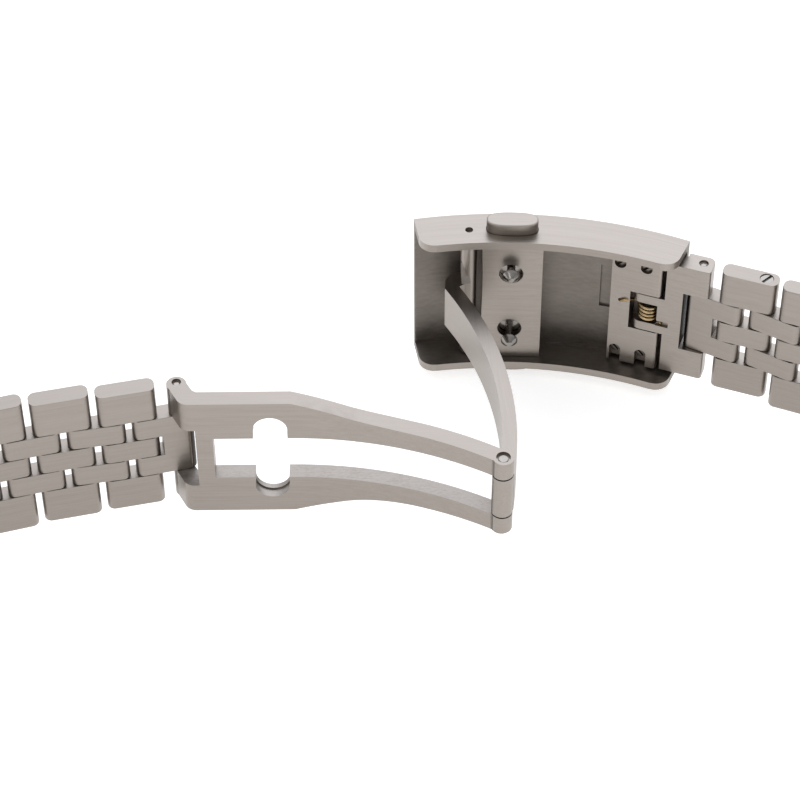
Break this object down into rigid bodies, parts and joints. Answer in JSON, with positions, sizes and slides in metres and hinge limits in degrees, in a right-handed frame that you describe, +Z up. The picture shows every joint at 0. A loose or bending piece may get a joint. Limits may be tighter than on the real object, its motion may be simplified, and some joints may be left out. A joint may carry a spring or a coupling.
{
  "type": "five link watch bracelet",
  "caption": "Steel watch bracelet of brick-laid links in rows, with a folding clasp lying open: tongue and fork blades, push-button cover and a sprung extension link.",
  "frame": {"origin": "middle of the foot of the bounding box: the bracelet stands on its edge, opened out, on the plane z = 0", "axes": "+X along the opened bracelet from the fork half to the cover half; +Y away from the wrist side, towards the outer face of the clasp cover; +Z up, along every hinge pin"},
  "size_m": [0.1452, 0.042, 0.0234],
  "materials": {
    "satin_steel": "satin brushed along the bracelet, milled inside the clasp",
    "polished_steel": "polished stainless steel",
    "spring_steel": "straw-coloured spring wire"
  },
  "bodies": {
    "cover": {"clasp_cover": "satin_steel", "cover_hinge_pin": "polished_steel", "latch_block": "satin_steel", "upper_latch_spring": "spring_steel", "lower_latch_spring": "spring_steel", "spring_block": "satin_steel", "block_screws": "polished_steel", "extension_pivot_pin": "polished_steel", "torsion_spring": "spring_steel"},
    "tongue": {"tongue_blade": "satin_steel"},
    "fork": {"fork_blade": "satin_steel", "blade_hinge_pin": "polished_steel", "left_clasp_spring_bar": "polished_steel"},
    "upper_push_button": {"upper_button": "polished_steel", "upper_latch_stud": "polished_steel"},
    "lower_push_button": {"lower_button": "polished_steel", "lower_latch_stud": "polished_steel"},
    "extension": {"extension_link": "satin_steel", "right_clasp_spring_bar": "polished_steel"},
    "left_clasp_link": {"left_clasp_link": "satin_steel"},
    "left_wide_1": {"left_wide_links_1": "satin_steel", "left_link_pins_1": "polished_steel"},
    "left_mid_1": {"left_mid_links_1": "satin_steel"},
    "left_wide_2": {"left_wide_links_2": "satin_steel", "left_link_pins_2": "polished_steel"},
    "left_mid_2": {"left_mid_links_2": "satin_steel"},
    "left_wide_3": {"left_wide_links_3": "satin_steel", "left_link_pins_3": "polished_steel"},
    "left_mid_3": {"left_mid_links_3": "satin_steel"},
    "left_wide_4": {"left_wide_links_4": "satin_steel", "left_link_pins_4": "polished_steel"},
    "left_mid_4": {"left_mid_links_4": "satin_steel"},
    "left_wide_5": {"left_wide_links_5": "satin_steel", "left_link_pins_5": "polished_steel"},
    "left_mid_5": {"left_mid_links_5": "satin_steel"},
    "left_end": {"left_end_link": "satin_steel", "left_end_link_pin": "polished_steel", "left_lug_spring_bar": "polished_steel"},
    "right_clasp_link": {"right_clasp_link": "satin_steel"},
    "right_wide_1": {"right_wide_links_1": "satin_steel", "right_link_pins_1": "polished_steel"},
    "right_mid_1": {"right_mid_links_1": "satin_steel"},
    "right_wide_2": {"right_wide_links_2": "satin_steel", "right_link_pins_2": "polished_steel"},
    "right_mid_2": {"right_mid_links_2": "satin_steel"},
    "right_wide_3": {"right_wide_links_3": "satin_steel", "right_link_pins_3": "polished_steel"},
    "right_mid_3": {"right_mid_links_3": "satin_steel"},
    "right_wide_4": {"right_wide_links_4": "satin_steel", "right_link_pins_4": "polished_steel"},
    "right_mid_4": {"right_mid_links_4": "satin_steel"},
    "right_wide_5": {"right_wide_links_5": "satin_steel", "right_link_pins_5": "polished_steel"},
    "right_mid_5": {"right_mid_links_5": "satin_steel"},
    "right_end": {"right_end_link": "satin_steel", "right_end_link_pin": "polished_steel", "right_lug_spring_bar": "polished_steel"}
  },
  "joints": [
    {"name": "cover_hinge", "type": "hinge", "parent": "cover", "child": "tongue", "pos_m": [0.00541, 0.01823, 0.0117], "axis": [0, 0, 1], "range_deg": [-45, 64.2]},
    {"name": "blade_hinge", "type": "hinge", "parent": "tongue", "child": "fork", "pos_m": [0.00837, -0.01363, 0.0117], "axis": [0, 0, 1], "range_deg": [-68.1, 47.8]},
    {"name": "upper_button_slide", "type": "slide", "parent": "cover", "child": "upper_push_button", "axis": [0, 0, -1], "range_m": [0, 0.0011], "stiffness_N_per_m": 400, "springref_m": -0.004, "deforming": ["upper_latch_spring"]},
    {"name": "lower_button_slide", "type": "slide", "parent": "cover", "child": "lower_push_button", "axis": [0, 0, 1], "range_m": [0, 0.0011], "stiffness_N_per_m": 400, "springref_m": -0.004, "deforming": ["lower_latch_spring"]},
    {"name": "extension_hinge", "type": "hinge", "parent": "cover", "child": "extension", "pos_m": [0.02656, 0.01546, 0.0117], "axis": [0, 0, 1], "range_deg": [-25, 0], "stiffness_Nm_per_rad": 0.002, "springref_deg": 5.73, "deforming": ["torsion_spring"]},
    {"name": "left_clasp_hinge", "type": "hinge", "parent": "fork", "child": "left_clasp_link", "pos_m": [-0.0275, -0.00459, 0.0117], "axis": [0, 0, 1], "range_deg": [-10, 8]},
    {"name": "left_link_hinge_1", "type": "hinge", "parent": "left_clasp_link", "child": "left_wide_1", "pos_m": [-0.03135, -0.00548, 0.0117], "axis": [0, 0, 1], "range_deg": [-10, 16]},
    {"name": "left_link_hinge_2", "type": "hinge", "parent": "left_wide_1", "child": "left_mid_1", "pos_m": [-0.03492, -0.00624, 0.0117], "axis": [0, 0, 1], "range_deg": [-10, 16]},
    {"name": "left_link_hinge_3", "type": "hinge", "parent": "left_mid_1", "child": "left_wide_2", "pos_m": [-0.03852, -0.00684, 0.0117], "axis": [0, 0, 1], "range_deg": [-10, 16]},
    {"name": "left_link_hinge_4", "type": "hinge", "parent": "left_wide_2", "child": "left_mid_2", "pos_m": [-0.04208, -0.00763, 0.0117], "axis": [0, 0, 1], "range_deg": [-10, 16]},
    {"name": "left_link_hinge_5", "type": "hinge", "parent": "left_mid_2", "child": "left_wide_3", "pos_m": [-0.04563, -0.00851, 0.0117], "axis": [0, 0, 1], "range_deg": [-10, 16]},
    {"name": "left_link_hinge_6", "type": "hinge", "parent": "left_wide_3", "child": "left_mid_3", "pos_m": [-0.04914, -0.00949, 0.0117], "axis": [0, 0, 1], "range_deg": [-10, 16]},
    {"name": "left_link_hinge_7", "type": "hinge", "parent": "left_mid_3", "child": "left_wide_4", "pos_m": [-0.05262, -0.01062, 0.0117], "axis": [0, 0, 1], "range_deg": [-10, 16]},
    {"name": "left_link_hinge_8", "type": "hinge", "parent": "left_wide_4", "child": "left_mid_4", "pos_m": [-0.05603, -0.01189, 0.0117], "axis": [0, 0, 1], "range_deg": [-10, 16]},
    {"name": "left_link_hinge_9", "type": "hinge", "parent": "left_mid_4", "child": "left_wide_5", "pos_m": [-0.05939, -0.01332, 0.0117], "axis": [0, 0, 1], "range_deg": [-10, 16]},
    {"name": "left_link_hinge_10", "type": "hinge", "parent": "left_wide_5", "child": "left_mid_5", "pos_m": [-0.06269, -0.01489, 0.0117], "axis": [0, 0, 1], "range_deg": [-10, 16]},
    {"name": "left_link_hinge_11", "type": "hinge", "parent": "left_mid_5", "child": "left_end", "pos_m": [-0.06591, -0.01661, 0.0117], "axis": [0, 0, 1], "range_deg": [-10, 16]},
    {"name": "right_clasp_hinge", "type": "hinge", "parent": "extension", "child": "right_clasp_link", "pos_m": [0.03238, 0.01391, 0.0117], "axis": [0, 0, 1], "range_deg": [-16, 10]},
    {"name": "right_link_hinge_1", "type": "hinge", "parent": "right_clasp_link", "child": "right_wide_1", "pos_m": [0.03585, 0.01202, 0.0117], "axis": [0, 0, 1], "range_deg": [-16, 10]},
    {"name": "right_link_hinge_2", "type": "hinge", "parent": "right_wide_1", "child": "right_mid_1", "pos_m": [0.03927, 0.01074, 0.0117], "axis": [0, 0, 1], "range_deg": [-16, 10]},
    {"name": "right_link_hinge_3", "type": "hinge", "parent": "right_mid_1", "child": "right_wide_2", "pos_m": [0.04238, 0.00884, 0.0117], "axis": [0, 0, 1], "range_deg": [-16, 10]},
    {"name": "right_link_hinge_4", "type": "hinge", "parent": "right_wide_2", "child": "right_mid_2", "pos_m": [0.04577, 0.00747, 0.0117], "axis": [0, 0, 1], "range_deg": [-16, 10]},
    {"name": "right_link_hinge_5", "type": "hinge", "parent": "right_mid_2", "child": "right_wide_3", "pos_m": [0.0489, 0.00559, 0.0117], "axis": [0, 0, 1], "range_deg": [-16, 10]},
    {"name": "right_link_hinge_6", "type": "hinge", "parent": "right_wide_3", "child": "right_mid_3", "pos_m": [0.05212, 0.00388, 0.0117], "axis": [0, 0, 1], "range_deg": [-16, 10]},
    {"name": "right_link_hinge_7", "type": "hinge", "parent": "right_mid_3", "child": "right_wide_4", "pos_m": [0.05518, 0.00189, 0.0117], "axis": [0, 0, 1], "range_deg": [-16, 10]},
    {"name": "right_link_hinge_8", "type": "hinge", "parent": "right_wide_4", "child": "right_mid_4", "pos_m": [0.05824, -0.0001, 0.0117], "axis": [0, 0, 1], "range_deg": [-16, 10]},
    {"name": "right_link_hinge_9", "type": "hinge", "parent": "right_mid_4", "child": "right_wide_5", "pos_m": [0.06116, -0.0023, 0.0117], "axis": [0, 0, 1], "range_deg": [-16, 10]},
    {"name": "right_link_hinge_10", "type": "hinge", "parent": "right_wide_5", "child": "right_mid_5", "pos_m": [0.06403, -0.00454, 0.0117], "axis": [0, 0, 1], "range_deg": [-16, 10]},
    {"name": "right_link_hinge_11", "type": "hinge", "parent": "right_mid_5", "child": "right_end", "pos_m": [0.06675, -0.00699, 0.0117], "axis": [0, 0, 1], "range_deg": [-16, 10]}
  ],
  "couplings": [
    {"joint": "blade_hinge", "follows": "cover_hinge", "ratio": -1.06}
  ]
}
